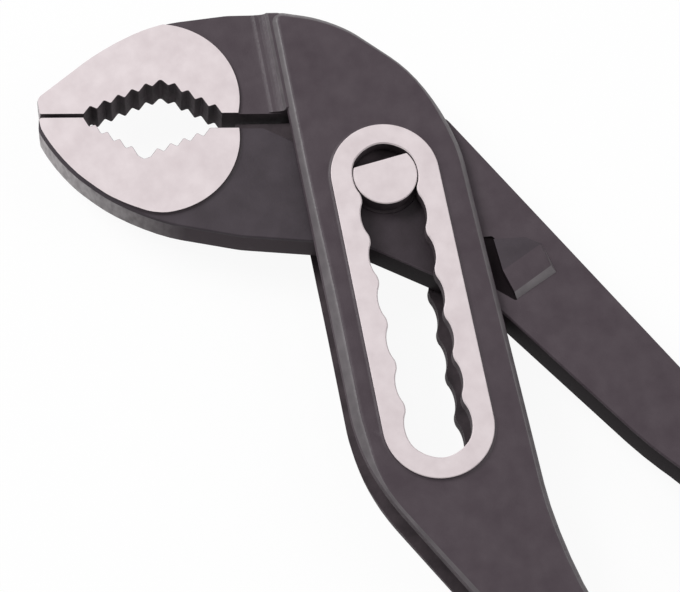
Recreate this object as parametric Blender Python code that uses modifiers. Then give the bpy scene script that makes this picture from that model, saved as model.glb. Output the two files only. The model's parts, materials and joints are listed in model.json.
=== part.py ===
"""Box-joint water pump pliers, 250 mm long, with the jaws shut at the first slot position.

The origin is on the joint pin's axis, on the plane that the pliers lie on. +X runs along the
slot towards the handles, the jaws point to -Y, and +Z is the pin's axis. Sizes are written in
millimetres and turned into metres where a mesh is made. Every solid is symmetric about the
middle plane of the joint, so it is drawn about Z = 0 and hung on an empty at half thickness.
"""

import math

import bmesh
import bpy
from mathutils import Vector

MM = 0.001
FACET_DEG = 12.0

# Fits
CLEARANCE = 0.3
CUT_MARGIN = 5.0

# Thicknesses along the pin
LEG_THICKNESS = 7.5
CHEEK_THICKNESS = 2.1
BOSS_HEIGHT = 0.6
GAP_HALF = LEG_THICKNESS / 2 + CLEARANCE
CHEEK_HALF = GAP_HALF + CHEEK_THICKNESS
MIDDLE = CHEEK_HALF + BOSS_HEIGHT

# Slot, boss and cheeks of the box joint
SLOT_PITCH = 7.8
SLOT_POSITIONS = 7
SLOT_TRAVEL = SLOT_PITCH * (SLOT_POSITIONS - 1)
POCKET_RADIUS = 5.9
CUSP_RADIUS = 2.6
CUSP_HEIGHT = math.sqrt((POCKET_RADIUS + CUSP_RADIUS) ** 2 - (SLOT_PITCH / 2) ** 2)
CHANNEL_HALF = CUSP_HEIGHT - CUSP_RADIUS
BOSS_WIDTH = 3.65
BOSS_RADIUS = POCKET_RADIUS + BOSS_WIDTH
BOSS_CHAMFER = 0.2
CHEEK_MARGIN = 4.75
CHEEK_HALF_WIDTH = BOSS_RADIUS + CHEEK_MARGIN
CHEEK_CHAMFER = 1.4

# Joint pin
PIN_BARREL_RADIUS = 6.2
PIN_SHANK_RADIUS = CHANNEL_HALF - CLEARANCE
PIN_HEAD_RADIUS = 5.65
PIN_HEAD_HEIGHT = 0.5
PIN_FLAT_OFFSET = 2.7
PIN_FLAT_TURN_DEG = 7.7
PIN_SIDES = 48

# Jaws: pairs are along the face from its tip, and into the jaw from its face
JAW_LENGTH = 43.8
JAW_DEPTH = 14.25
FACE_TILT_DEG = 8.6
FACE_GAP = 0.5
JAW_CHAMFER = 0.5
TIP_FLAT = 7.8
TIP_HEIGHT = 2.6
TIP_ROUNDING = 0.4
TOOTH_DEPTH = 0.9
UPPER_NOTCH_START = (20.1, 5.4)
UPPER_NOTCH_APEX = (21.5, 6.9)
UPPER_NOTCH_END = (22.9, 5.6)
UPPER_LAND = 32.4
UPPER_TEETH = (5, 4)
LOWER_NOTCH_APEX = (18.5, 7.0)
LOWER_LAND = (30.2, 2.2)
LOWER_TEETH = (5, 5)
ROOT_LENGTH = 3.4
ROOT_RISE = 1.6
ROOT_INSET = 0.4
ROOT_OVERLAP = 2.0
ROOT_TOP_DROP = 1.0

# Hub of the sliding leg, and the bridge of the slotted leg over it
HUB_WALL = 7.0
HUB_GAP = 2.3
JAW_REACH = CHEEK_HALF_WIDTH + JAW_LENGTH
FACE_DROP = PIN_BARREL_RADIUS + HUB_WALL + HUB_GAP + JAW_LENGTH * math.sin(math.radians(FACE_TILT_DEG))
HEAD_CROWN = FACE_DROP + JAW_DEPTH

# Corners of the slotted leg's outline: two distances from the lines named beside, then rounding
SHOULDER_ROUNDING = 0.8
CROWN_CORNER = (4.0, 10.9, 20.0)  # below the crown, in from the left edge
BACK_CORNER = (21.1, 0.2, 36.0)  # below the crown, in from the right edge
FLARE_CORNER = (24.0, 2.1, 70.0)  # past the last slot position, out from the right edge
REAR_CORNER = (3.7, 0.0, 18.0)  # past the last slot position, in from the left edge
JAW_TIP_ROUNDING = 1.4
JAW_BROW_CORNER = (0.1, 17.9, 40.0)  # above the crown, along from the tip
JAW_NECK_CORNER = (1.0, 0.6, 6.0)  # below the crown, in from the left edge
JAW_INSERT = (4.5, 6.0)  # below the crown and above the face, in from the left edge

# Sliding leg
SWING_DEG = 85.0
LEG_EDGE_DEG = 30.7
LEG_EDGE_OFFSET = 16.4
LEG_EDGE_START = -2.9
LEG_LENGTH = 84.0
LEG_WAIST = 35.7
LEG_WAIST_WIDTH = 17.0
LEG_WAIST_RADIUS = 60.0
LEG_CHAMFER = 0.6
LEG_SWEEP = 39.2
JAW_HEEL = 9.1
JAW_HEEL_ROUNDING = 1.0
THROAT_CORNER = (6.6, 10.4, 4.0)  # from the heel of the lower jaw
HUB_TOP_ROUNDING = 5.0
HUB_TOP_SIDE = 1.0
HUB_EDGE_ROUNDING = 4.0
HUB_FOOT_CORNER = (5.8, 3.5, 18.0)  # below the pin's barrel, to the jaw's side of the pin
CHIN_CORNER = (0.6, 12.5, 60.0)  # inside the pin's barrel, past the left edge of the box
JAW_BACK_CORNER = (20.1, 13.0, 24.0)  # from the tip of the lower jaw
JAW_NOSE_CORNER = (7.7, 0.7, 8.0)  # from the tip of the lower jaw
JAW_TOE_CORNER = (0.3, -0.7, 0.6)  # from the tip of the lower jaw
STOP_START = 14.7
STOP_LENGTH = 11.7
STOP_DEPTH = 8.2
STOP_GAP = 2.5
STOP_SLANT = 1.7
STOP_TAPER = (2.6, 4.1)
STOP_ROUNDING = 0.8
STOP_CHAMFER = 0.8

# Handles and their sleeves
HANDLE_HALF_WIDTH = 5.6
NECK_START = 2.0
NECK_LENGTH = 14.0
NECK_END = 2.5
BEND_RADIUS = 40.0
BOW_RADIUS = 160.0
NOSE_SHARE = 0.9
GRIP_LENGTH = 95.0
GRIP_BOW = 48.0
GRIP_WALL = 3.0
GRIP_ROUNDING = 3.2
SLOTTED_BEND_SIDE = 22.3
SLOTTED_SHANK = 11.6
SLOTTED_SHANK_DEG = 6.6
SLOTTED_TAIL_DEG = -1.2
SLIDING_SHANK = 51.6
SLIDING_SHANK_DEG = 12.8
SLIDING_TAIL_DEG = 3.2
WINDOW_FLOOR = SLOT_TRAVEL + LEG_SWEEP
NECK_TOP = WINDOW_FLOOR + NECK_START

# Finishes: colour, roughness, metallic
FORGED_STEEL = ((0.085, 0.07, 0.077, 1.0), 0.5, 0.7)
GROUND_STEEL = ((0.72, 0.68, 0.68, 1.0), 0.3, 1.0)
SLEEVE_VINYL = ((0.02, 0.07, 0.22, 1.0), 0.5, 0.0)


def clear_scene():
    for old in list(bpy.data.objects):
        bpy.data.objects.remove(old, do_unlink=True)


def new_collection(name):
    collection = bpy.data.collections.new(name)
    bpy.context.scene.collection.children.link(collection)
    return collection


def finish(name, look):
    colour, roughness, metallic = look
    made = bpy.data.materials.new(name)
    made.use_nodes = True
    shader = made.node_tree.nodes["Principled BSDF"]
    shader.inputs["Base Color"].default_value = colour
    shader.inputs["Roughness"].default_value = roughness
    shader.inputs["Metallic"].default_value = metallic
    return made


def polar(radius, degrees):
    return Vector((radius * math.cos(math.radians(degrees)), radius * math.sin(math.radians(degrees))))


def arc(centre, radius, start, end):
    """Points on a circle from one angle to another, both ends included."""
    steps = max(1, math.ceil(abs(end - start) / FACET_DEG))
    return [Vector(centre) + polar(radius, start + (end - start) * i / steps) for i in range(steps + 1)]


def rounded(corners):
    """The outline through corners (x, y, radius), each rounded by its radius."""
    outline = []
    for i, (x, y, radius) in enumerate(corners):
        here = Vector((x, y))
        back = (Vector(corners[i - 1][:2]) - here).normalized()
        ahead = (Vector(corners[(i + 1) % len(corners)][:2]) - here).normalized()
        half = back.angle(ahead) / 2
        if radius == 0 or half > math.radians(89.9):
            outline.append(here)
            continue
        centre = here + (back + ahead).normalized() * radius / math.sin(half)
        start = here + back * radius / math.tan(half) - centre
        turn = math.pi - 2 * half
        sense = 1 if back.x * ahead.y - back.y * ahead.x < 0 else -1
        first = math.degrees(math.atan2(start.y, start.x))
        outline += arc(centre, radius, first, first + sense * math.degrees(turn))
    return outline


def prism(name, outline, half_thickness, chamfer=0.0):
    """A flat outline made solid about the middle plane, with chamfered rims, in the helpers."""
    curve = bpy.data.curves.new(name, "CURVE")
    curve.dimensions = "2D"
    curve.fill_mode = "BOTH"
    curve.extrude = (half_thickness - chamfer) * MM
    curve.bevel_depth = chamfer * MM
    curve.bevel_resolution = 0
    curve.offset = -chamfer * MM
    spline = curve.splines.new("POLY")
    spline.points.add(len(outline) - 1)
    for point, (x, y) in zip(spline.points, outline):
        point.co = (x * MM, y * MM, 0.0, 1.0)
    spline.use_cyclic_u = True
    return as_mesh(bpy.data.objects.new(name, curve))


def as_mesh(drawn):
    """Replaces a curve object with a closed mesh object of the same name, among the helpers."""
    name = drawn.name
    HELPERS.objects.link(drawn)
    bpy.context.view_layer.update()
    seen = drawn.evaluated_get(bpy.context.evaluated_depsgraph_get())
    mesh = bpy.data.meshes.new_from_object(seen)
    bpy.data.objects.remove(drawn, do_unlink=True)
    welded = bmesh.new()
    welded.from_mesh(mesh)
    bmesh.ops.remove_doubles(welded, verts=welded.verts, dist=1e-7)
    bmesh.ops.recalc_face_normals(welded, faces=welded.faces)
    welded.to_mesh(mesh)
    welded.free()
    made = bpy.data.objects.new(name, mesh)
    HELPERS.objects.link(made)
    made.parent = JOINT_AXIS
    made.hide_render = True
    made.display_type = "WIRE"
    return made


def combine(target, operation, *others):
    for other in others:
        step = target.modifiers.new(other.name, "BOOLEAN")
        step.operation = operation
        step.solver = "EXACT"
        step.object = other


def publish(part, look, parent):
    """Moves a finished helper to the parts, dresses it and hangs it on its parent."""
    HELPERS.objects.unlink(part)
    PARTS.objects.link(part)
    part.hide_render = False
    part.display_type = "TEXTURED"
    part.data.materials.append(finish(part.name, look))
    part.data.shade_smooth()
    part.data.set_sharp_from_angle(angle=math.radians(30))
    part.parent = parent


def axis_empty(name, parent=None):
    """An empty on the pin's axis, which what turns or slides there hangs on."""
    made = bpy.data.objects.new(name, None)
    PARTS.objects.link(made)
    made.parent = parent
    return made


# Jaw faces

def jaw_point(along, into_upper):
    """A point measured along the upper jaw's face from its tip, and into the upper jaw."""
    tilt = math.radians(FACE_TILT_DEG)
    run = Vector((math.sin(tilt), math.cos(tilt)))
    rise = Vector((-math.cos(tilt), math.sin(tilt)))
    return Vector((-FACE_DROP, -JAW_REACH)) + run * along + rise * into_upper


def lower_point(along, into_lower):
    return jaw_point(along, -FACE_GAP - into_lower)


def teeth(start, end, count, into):
    """Tooth tips and roots from start up to, but not including, end; roots lie along into."""
    points = []
    for i in range(count):
        tip = start.lerp(end, i / count)
        root = start.lerp(end, (i + 0.5) / count) + into * TOOTH_DEPTH
        points += [tip, root]
    return points


def upper_notch():
    """The toothed V of the upper jaw, closed below its face, as a cutter's outline."""
    outer_end = jaw_point(*UPPER_NOTCH_START)
    inner_start = jaw_point(*UPPER_NOTCH_END)
    land = jaw_point(UPPER_LAND, 0)
    into = (jaw_point(0, 1) - jaw_point(0, 0))
    outline = teeth(jaw_point(TIP_FLAT, 0), outer_end, UPPER_TEETH[0], into)
    outline += [outer_end, jaw_point(*UPPER_NOTCH_APEX)]
    outline += teeth(inner_start, land, UPPER_TEETH[1], into)
    return outline + [land, jaw_point(UPPER_LAND, -CUT_MARGIN), jaw_point(TIP_FLAT, -CUT_MARGIN)]


def lower_notch():
    """The toothed V of the lower jaw and the low land behind it, closed above its face."""
    apex = lower_point(*LOWER_NOTCH_APEX)
    land = lower_point(*LOWER_LAND)
    into = lower_point(0, 1) - lower_point(0, 0)
    past_jaw = JAW_LENGTH
    outline = teeth(lower_point(TIP_FLAT, 0), apex, LOWER_TEETH[0], into)
    outline += [apex + into * TOOTH_DEPTH]
    outline += teeth(apex, land, LOWER_TEETH[1], into)[1:]
    outline += [land, lower_point(past_jaw, LOWER_LAND[1])]
    return outline + [lower_point(past_jaw, -CUT_MARGIN), lower_point(TIP_FLAT, -CUT_MARGIN)]


# Handles: each runs on a centre line of three points, its bend, its bow and its end

def centre_line(bend, shank, shank_deg, tail_deg):
    bow = bend + polar(shank + GRIP_LENGTH - GRIP_BOW, shank_deg)
    return [bend, bow, bow + polar(GRIP_BOW, tail_deg)]


def slotted_line():
    bend = Vector((NECK_TOP + NECK_LENGTH + NECK_END, SLOTTED_BEND_SIDE))
    return centre_line(bend, SLOTTED_SHANK, SLOTTED_SHANK_DEG, SLOTTED_TAIL_DEG)


def sliding_line():
    bend = leg_point(LEG_LENGTH, HANDLE_HALF_WIDTH)
    return centre_line(bend, SLIDING_SHANK, SLIDING_SHANK_DEG, SLIDING_TAIL_DEG)


def side(line, spread):
    """The centre line moved sideways, positive to the left of its run."""
    first = (line[1] - line[0]).normalized()
    second = (line[2] - line[1]).normalized()
    between = (first + second).normalized()
    stretch = spread / between.dot(first)
    return [
        line[0] + Vector((-first.y, first.x)) * spread,
        line[1] + Vector((-between.y, between.x)) * stretch,
        line[2] + Vector((-second.y, second.x)) * spread,
    ]


def bar_corners(line, half_width, start_radius):
    """Corners of a bar on a centre line, up its +Y side, round its end and back down its -Y side."""
    left = side(line, half_width)
    right = side(line, -half_width)
    nose = half_width * NOSE_SHARE
    return [
        (*left[0], start_radius),
        (*left[1], BOW_RADIUS),
        (*left[2], nose),
        (*right[2], nose),
        (*right[1], BOW_RADIUS),
        (*right[0], start_radius),
    ]


def handle_corners(line):
    return bar_corners(line, HANDLE_HALF_WIDTH, BEND_RADIUS)


def sleeve_outline(line, spread, lead):
    """An outline round the last GRIP_LENGTH of a handle, spread from it, that starts lead earlier."""
    first = (line[1] - line[0]).normalized()
    second = (line[2] - line[1]).normalized()
    mouth = line[1] - first * (GRIP_LENGTH - GRIP_BOW + lead)
    return rounded(bar_corners([mouth, line[1], line[2] + second * spread], HANDLE_HALF_WIDTH + spread, 0))


# Slotted leg: upper jaw, box joint and lower handle in one forging

def slot_outline():
    """Round pockets joined by rounded cusps, run round once against the clock."""
    lean = math.degrees(math.atan2(CUSP_HEIGHT, SLOT_PITCH / 2))
    side_run = arc((SLOT_TRAVEL, 0), POCKET_RADIUS, 0, 180 - lean)
    for i in range(SLOT_POSITIONS - 2, -1, -1):
        side_run += arc(((i + 0.5) * SLOT_PITCH, CUSP_HEIGHT), CUSP_RADIUS, -lean, lean - 180)[1:-1]
        side_run += arc((i * SLOT_PITCH, 0), POCKET_RADIUS, lean, 180 - lean if i else 180)
    return side_run + [Vector((x, -y)) for x, y in reversed(side_run[1:-1])]


def stadium(radius):
    return arc((0, 0), radius, 90, 270) + arc((SLOT_TRAVEL, 0), radius, -90, 90)


def box_corners():
    """Cheeks and handle: shoulder, right edge, handle, then the left edge back to the jaw."""
    crown_in, crown_y, crown_radius = CROWN_CORNER
    back_in, back_y, back_radius = BACK_CORNER
    flare_x, flare_y, flare_radius = FLARE_CORNER
    rear_x, rear_y, rear_radius = REAR_CORNER
    return [
        (-HEAD_CROWN + SHOULDER_ROUNDING, -CHEEK_HALF_WIDTH, SHOULDER_ROUNDING),
        (-HEAD_CROWN + crown_in, -CHEEK_HALF_WIDTH + crown_y, crown_radius),
        (-HEAD_CROWN + back_in, CHEEK_HALF_WIDTH - back_y, back_radius),
        (SLOT_TRAVEL + flare_x, CHEEK_HALF_WIDTH + flare_y, flare_radius),
        *handle_corners(slotted_line()),
        (SLOT_TRAVEL + rear_x, -CHEEK_HALF_WIDTH + rear_y, rear_radius),
    ]


def upper_jaw_corners():
    """The upper jaw from its tip over its brow, into the box and back along its face."""
    tip = jaw_point(0, 0)
    root = jaw_point(JAW_LENGTH + ROOT_OVERLAP, 0)
    brow_x, brow_y, brow_radius = JAW_BROW_CORNER
    neck_x, neck_y, neck_radius = JAW_NECK_CORNER
    insert_x, insert_y = JAW_INSERT
    return [
        (*tip, TIP_ROUNDING),
        (tip.x - TIP_HEIGHT, tip.y, JAW_TIP_ROUNDING),
        (-HEAD_CROWN - brow_x, tip.y + brow_y, brow_radius),
        (-HEAD_CROWN + neck_x, -CHEEK_HALF_WIDTH + neck_y, neck_radius),
        (-HEAD_CROWN + insert_x, -CHEEK_HALF_WIDTH + insert_y, 0),
        (root.x - insert_x, -CHEEK_HALF_WIDTH + insert_y, 0),
        (*root, 0),
    ]


def jaw_root_outline():
    """The thicker strip where the upper jaw climbs to the cheeks."""
    low = jaw_point(JAW_LENGTH - ROOT_LENGTH, ROOT_INSET)
    inner = jaw_point(JAW_LENGTH + ROOT_OVERLAP, ROOT_INSET)
    top = -HEAD_CROWN + ROOT_TOP_DROP
    return [low, inner, Vector((top, inner.y)), Vector((top, low.y))]


def window_outline():
    """Room between the cheeks for the sliding leg at every slot position, swung up to its limit.

    The upper edge follows the leg's own top edge swung fully open, and the lower edge lies past
    the lowest reach of the leg at the last slot position.
    """
    swung = LEG_EDGE_DEG + SWING_DEG
    away = polar(LEG_EDGE_OFFSET + 2 * CLEARANCE, swung + 90)
    run = polar(1, swung)
    ceiling = jaw_point(JAW_LENGTH, 0).x - CLEARANCE
    meet = away + run * ((ceiling - away.x) / run.x)
    far = meet + run * 4 * CHEEK_HALF_WIDTH
    wide = 3 * CHEEK_HALF_WIDTH
    return [
        Vector((ceiling, -CHEEK_HALF_WIDTH - ROOT_OVERLAP)),
        meet,
        far,
        Vector((WINDOW_FLOOR, far.y)),
        Vector((WINDOW_FLOOR, -wide)),
        Vector((ceiling + ROOT_OVERLAP, -wide)),
    ]


def handle_thinner(name, face):
    """A wedge that thins the slotted leg's handle to the thickness of a leg on one face."""
    neck_end = NECK_TOP + NECK_LENGTH
    far = slotted_line()[-1].x + HANDLE_HALF_WIDTH + CUT_MARGIN
    thick = CHEEK_HALF + CUT_MARGIN
    profile = [
        (NECK_TOP, CHEEK_HALF),
        (neck_end, LEG_THICKNESS / 2),
        (far, LEG_THICKNESS / 2),
        (far, thick),
        (NECK_TOP, thick),
    ]
    wedge = prism(name, [Vector((x, face * z)) for x, z in profile], far)
    wedge.rotation_euler = (math.radians(90), 0, 0)
    return wedge


def make_slotted_leg(parent):
    leg = prism("slotted_leg", rounded(box_corners()), CHEEK_HALF, CHEEK_CHAMFER)
    boss = prism("slot_boss", stadium(BOSS_RADIUS), MIDDLE, BOSS_CHAMFER)
    jaw = prism("upper_jaw_blank", rounded(upper_jaw_corners()), LEG_THICKNESS / 2, JAW_CHAMFER)
    root = prism("upper_jaw_root", jaw_root_outline(), LEG_THICKNESS / 2 + ROOT_RISE, ROOT_RISE)
    window = prism("leg_window", window_outline(), GAP_HALF)
    slot = prism("slot_cutter", slot_outline(), MIDDLE + CUT_MARGIN)
    notch = prism("upper_notch", upper_notch(), LEG_THICKNESS)
    combine(leg, "UNION", boss, jaw, root)
    combine(leg, "DIFFERENCE", handle_thinner("thin_front", 1), handle_thinner("thin_back", -1))
    combine(leg, "DIFFERENCE", window, slot, notch)
    publish(leg, FORGED_STEEL, parent)


# Joint pin: barrel between the cheeks, shanks through both slots, a flatted riveted head

def make_pin(parent):
    top = MIDDLE + CLEARANCE
    profile = [
        (0, top + PIN_HEAD_HEIGHT),
        (PIN_HEAD_RADIUS, top + PIN_HEAD_HEIGHT),
        (PIN_HEAD_RADIUS, top),
        (PIN_SHANK_RADIUS, top),
        (PIN_SHANK_RADIUS, LEG_THICKNESS / 2),
        (PIN_BARREL_RADIUS, LEG_THICKNESS / 2),
        (PIN_BARREL_RADIUS, -LEG_THICKNESS / 2),
        (PIN_SHANK_RADIUS, -LEG_THICKNESS / 2),
        (PIN_SHANK_RADIUS, -MIDDLE),
        (0, -MIDDLE),
    ]
    mesh = bpy.data.meshes.new("joint_pin")
    edges = [(i, i + 1) for i in range(len(profile) - 1)]
    mesh.from_pydata([(r * MM, 0, z * MM) for r, z in profile], edges, [])
    pin = bpy.data.objects.new("joint_pin", mesh)
    HELPERS.objects.link(pin)
    turn = pin.modifiers.new("turned", "SCREW")
    turn.axis = "Z"
    turn.steps = turn.render_steps = PIN_SIDES
    turn.use_merge_vertices = True
    turn.merge_threshold = 1e-6
    away = polar(1, 180 + PIN_FLAT_TURN_DEG)
    along = Vector((-away.y, away.x))
    near = away * PIN_FLAT_OFFSET
    far = away * (PIN_HEAD_RADIUS + CUT_MARGIN)
    wide = along * 2 * PIN_HEAD_RADIUS
    flat_low = LEG_THICKNESS / 2 + CLEARANCE
    flat_high = top + PIN_HEAD_HEIGHT + CUT_MARGIN
    flat = prism(
        "pin_flat", [near - wide, far - wide, far + wide, near + wide], (flat_high - flat_low) / 2
    )
    flat.location.z = (flat_high + flat_low) / 2 * MM
    combine(pin, "DIFFERENCE", flat)
    publish(pin, GROUND_STEEL, parent)


# Sliding leg: lower jaw, hub and upper handle in one forging

def leg_point(along, depth):
    """A point along the sliding leg's top edge from beside the pin, and into the leg from it."""
    return polar(LEG_EDGE_OFFSET - depth, LEG_EDGE_DEG + 90) + polar(along, LEG_EDGE_DEG)


def sliding_leg_corners():
    """Lower jaw's tip, face and hub, the top edge, the handle, then the lower edge back."""
    tip = lower_point(0, 0)
    heel = lower_point(JAW_LENGTH - JAW_HEEL, 0)
    throat_x, throat_y, throat_radius = THROAT_CORNER
    foot_x, foot_y, foot_radius = HUB_FOOT_CORNER
    chin_x, chin_y, chin_radius = CHIN_CORNER
    return [
        (*tip, TIP_ROUNDING),
        (*heel, JAW_HEEL_ROUNDING),
        (heel.x + throat_x, heel.y + throat_y, throat_radius),
        (-PIN_BARREL_RADIUS - HUB_WALL, -HUB_TOP_SIDE, HUB_TOP_ROUNDING),
        (*leg_point(LEG_EDGE_START, 0), HUB_EDGE_ROUNDING),
        *handle_corners(sliding_line()),
        (*leg_point(LEG_WAIST, LEG_WAIST_WIDTH), LEG_WAIST_RADIUS),
        (PIN_BARREL_RADIUS + foot_x, -foot_y, foot_radius),
        (PIN_BARREL_RADIUS - chin_x, -CHEEK_HALF_WIDTH - chin_y, chin_radius),
        *[(tip.x + x, tip.y + y, r) for x, y, r in (JAW_BACK_CORNER, JAW_NOSE_CORNER, JAW_TOE_CORNER)],
    ]


def stop_outline():
    """The stop beside the box, clear of its right edge at every slot position."""
    near = CHEEK_HALF_WIDTH + STOP_GAP
    far = near + STOP_DEPTH
    start_taper, end_taper = STOP_TAPER
    end = STOP_START + STOP_LENGTH
    return rounded([
        (STOP_START, near, STOP_ROUNDING),
        (end, near + STOP_SLANT, STOP_ROUNDING),
        (end - end_taper, far + STOP_SLANT, STOP_ROUNDING),
        (STOP_START + start_taper, far, STOP_ROUNDING),
    ])


def make_sliding_leg(parent):
    leg = prism("sliding_leg", rounded(sliding_leg_corners()), LEG_THICKNESS / 2, LEG_CHAMFER)
    stop = prism("pinch_stop", stop_outline(), CHEEK_HALF, STOP_CHAMFER)
    bore = prism("pin_bore", arc((0, 0), PIN_BARREL_RADIUS + CLEARANCE, 0, 360)[:-1], LEG_THICKNESS)
    notch = prism("lower_notch", lower_notch(), LEG_THICKNESS)
    combine(leg, "UNION", stop)
    combine(leg, "DIFFERENCE", bore, notch)
    publish(leg, FORGED_STEEL, parent)


# Sleeves: dipped cups over the handle ends, open towards the joint

def make_sleeve(name, line, parent):
    sleeve = prism(name, sleeve_outline(line, GRIP_WALL, 0), MIDDLE, GRIP_ROUNDING)
    inside = sleeve_outline(line, CLEARANCE, CUT_MARGIN)
    hollow = prism(name + "_hollow", inside, LEG_THICKNESS / 2 + CLEARANCE)
    combine(sleeve, "DIFFERENCE", hollow)
    publish(sleeve, SLEEVE_VINYL, parent)


clear_scene()
PARTS = new_collection("water_pump_pliers")
HELPERS = new_collection("cutters")
JOINT_AXIS = axis_empty("joint_axis")
JOINT_AXIS.location.z = MIDDLE * MM
slide_axis = axis_empty("slide_axis", JOINT_AXIS)
pivot_axis = axis_empty("pivot_axis", slide_axis)
make_slotted_leg(JOINT_AXIS)
make_sleeve("slotted_leg_grip", slotted_line(), JOINT_AXIS)
make_pin(slide_axis)
make_sliding_leg(pivot_axis)
make_sleeve("sliding_leg_grip", sliding_line(), pivot_axis)
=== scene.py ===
"""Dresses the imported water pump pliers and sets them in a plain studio.

The two forged legs, the riveted joint pin and the two dipped sleeves are modelled again with
their chamfers, fillets, ground pads and rounded teeth, and each stands for its plain solid in
the frame. Shapes are drawn in millimetres about the middle plane of the joint, with the pin's
axis on Z and the slot along +X, and are moved to the frame in metres when a piece is finished.
"""

import json
import logging
import math
from collections.abc import Callable
from dataclasses import dataclass, field
from enum import Enum, IntEnum

import bmesh
import bpy
from mathutils import Matrix, Quaternion, Vector

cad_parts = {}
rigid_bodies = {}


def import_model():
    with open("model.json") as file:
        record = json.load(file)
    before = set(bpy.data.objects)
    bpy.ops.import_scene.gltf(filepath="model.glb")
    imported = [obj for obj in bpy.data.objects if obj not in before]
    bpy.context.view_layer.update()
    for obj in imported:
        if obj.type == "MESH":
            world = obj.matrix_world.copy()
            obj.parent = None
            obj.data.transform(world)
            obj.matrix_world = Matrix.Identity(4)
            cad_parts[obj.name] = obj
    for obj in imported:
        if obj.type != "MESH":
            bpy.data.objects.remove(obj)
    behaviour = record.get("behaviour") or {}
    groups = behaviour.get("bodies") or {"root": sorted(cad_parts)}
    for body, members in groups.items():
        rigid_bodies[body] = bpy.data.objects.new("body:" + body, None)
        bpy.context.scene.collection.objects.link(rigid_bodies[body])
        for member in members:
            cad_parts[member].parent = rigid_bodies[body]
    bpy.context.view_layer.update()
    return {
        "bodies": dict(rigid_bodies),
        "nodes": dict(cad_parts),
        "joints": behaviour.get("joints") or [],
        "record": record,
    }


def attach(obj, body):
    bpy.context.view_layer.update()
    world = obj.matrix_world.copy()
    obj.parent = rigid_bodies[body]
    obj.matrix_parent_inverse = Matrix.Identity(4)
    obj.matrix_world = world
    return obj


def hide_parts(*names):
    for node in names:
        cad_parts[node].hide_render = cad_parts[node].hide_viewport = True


LOG = logging.getLogger("water_pump_pliers")
MM = 0.001
WELD = 0.004
SMOOTH_DEG = 32.0
ARC_STEP_DEG = 4.0
ARC_CHORD = 0.1
LEAST_TURN_DEG = 0.5
SHEER = 0.001
LEVEL_NORMAL = 0.97
SIDE_NORMAL = 0.8
END_NORMAL = 0.5
WALL_NORMAL = 0.3
FILLET_SEGMENTS = 4
FAR = 60.0
EVEN = (1.0, 1.0, 1.0)
NOISE_SPAN = (0.3, 0.7)
CLOUD_DETAIL = 4.0
GRAIN_DETAIL = 3.0
GRAIN_STRENGTH = 0.5
WHITE = (1.0, 1.0, 1.0, 1.0)

Colour = tuple[float, float, float]


class Finish(IntEnum):
    """Material slots of a steel piece, in order."""

    FORGED = 0
    # Edge wear and painted highlight on chamfers and on slopes that face the lamps.
    WEAR_AND_HIGHLIGHT = 1
    GROUND = 2
    # A leg's sides: ground near the tip, painted shade from the joint on.
    FLANK = 3
    # Painted shade on walls, inside openings and on the pin's sides.
    BLACK = 4
    # Painted shade between the cheeks and at the pads' fillets.
    PAINTED_SHADE = 5
    # Painted shade on the sliding leg's jaw and the stop's uphill faces.
    SHADED = 6


class Operation(Enum):
    """What a blank does to the blank that it meets."""

    JOIN = "UNION"
    CUT = "DIFFERENCE"


@dataclass(frozen=True)
class Corner:
    """A corner of a flat outline and the radius that rounds it."""

    x: float
    y: float
    radius: float = 0.0

    @property
    def place(self) -> Vector:
        """The corner as a flat vector."""
        return Vector((self.x, self.y))


@dataclass(frozen=True)
class Step:
    """One step of a rim: how far it goes inwards, how far up, and its finish."""

    inward: float
    rise: float
    finish: Finish = Finish.FORGED


def smooth_step(low: float, high: float, value: float) -> float:
    """Goes softly from 0 at the low value to 1 at the high one."""
    share = min(max((value - low) / (high - low), 0.0), 1.0)
    return share * share * (3.0 - 2.0 * share)


def polar(radius: float, degrees: float) -> Vector:
    """A flat vector from its length and its angle."""
    angle = math.radians(degrees)
    return Vector((radius * math.cos(angle), radius * math.sin(angle)))


def at(place: Vector, radius: float = 0.0) -> Corner:
    """A corner at a flat vector."""
    return Corner(place.x, place.y, radius)


def rounded_box(low: tuple[float, float], high: tuple[float, float], radius: float) -> list[Corner]:
    """The corners of a rectangle, all rounded alike."""
    places = (low, (high[0], low[1]), high, (low[0], high[1]))
    return [Corner(x, y, radius) for x, y in places]


def draw_outline(corners: list[Corner]) -> bmesh.types.BMesh:
    """Draws a flat outline as one face and rounds its corners.

    Args:
        corners: The outline's corners in order, in millimetres.

    Returns:
        A new bmesh that holds the face on the middle plane.
    """
    bm = bmesh.new()
    verts = [bm.verts.new((corner.x, corner.y, 0.0)) for corner in corners]
    bm.faces.new(verts)
    for i, corner in enumerate(corners):
        back = (corners[i - 1].place - corner.place).normalized()
        ahead = (corners[(i + 1) % len(corners)].place - corner.place).normalized()
        turn = math.pi - back.angle(ahead)
        if corner.radius == 0.0 or turn < math.radians(LEAST_TURN_DEG):
            continue
        arc_step = max(math.radians(ARC_STEP_DEG), ARC_CHORD / corner.radius)
        bmesh.ops.bevel(
            bm,
            geom=[verts[i]],
            offset=corner.radius * math.tan(turn / 2),
            offset_type="OFFSET",
            segments=max(2, math.ceil(turn / arc_step)),
            profile=0.5,
            affect="VERTICES",
            clamp_overlap=False,
            material=-1,
        )
    bmesh.ops.remove_doubles(bm, verts=bm.verts, dist=ARC_CHORD / 4)
    bmesh.ops.recalc_face_normals(bm, faces=bm.faces)
    bm.faces.ensure_lookup_table()
    if bm.faces[0].normal.z < 0:
        bmesh.ops.reverse_faces(bm, faces=bm.faces)
    return bm


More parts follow.
